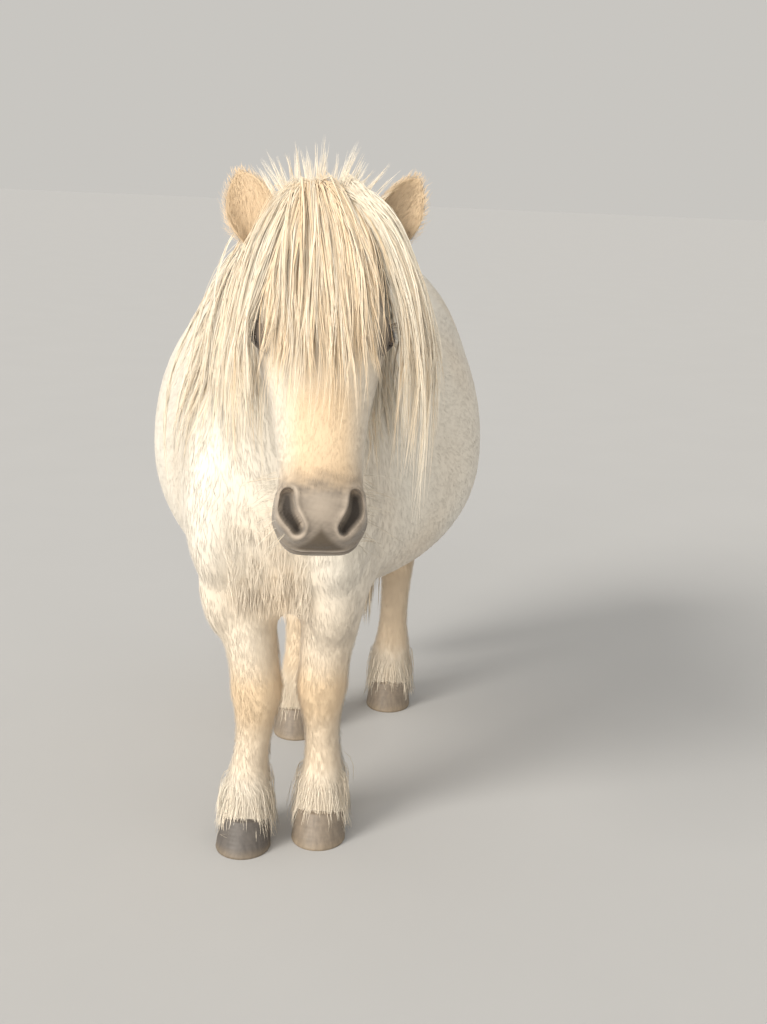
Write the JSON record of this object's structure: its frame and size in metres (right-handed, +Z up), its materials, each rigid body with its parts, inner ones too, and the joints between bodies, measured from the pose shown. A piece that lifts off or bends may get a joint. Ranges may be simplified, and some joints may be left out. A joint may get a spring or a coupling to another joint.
{
  "type": "shetland pony",
  "caption": "Life-size standing Shetland pony with a pale coat, long flaxen mane, forelock and tail, its head turned slightly to its left.",
  "frame": {"origin": "on the floor under the middle of the part's box", "axes": "+Z up, the pony faces -Y and its left side is +X"},
  "size_m": [0.6088, 1.3918, 1.1401],
  "materials": {
    "coat": "soft cream-white pony coat",
    "tan_coat": "short peach-tan pony coat",
    "long_hair": "long flaxen-white horse hair",
    "eye": "wet dark brown eye",
    "horn": "dark grey hoof horn"
  },
  "bodies": {
    "root": {"torso": "coat", "neck": "coat", "head": "tan_coat", "ear_left": "tan_coat", "ear_right": "tan_coat", "eye_left": "eye", "eye_right": "eye", "tail": "long_hair", "leg_front_left": "tan_coat", "leg_front_right": "tan_coat", "leg_hind_left": "tan_coat", "leg_hind_right": "tan_coat", "hoof_front_left": "horn", "hoof_front_right": "horn", "hoof_hind_left": "horn", "hoof_hind_right": "horn"}
  },
  "joints": []
}
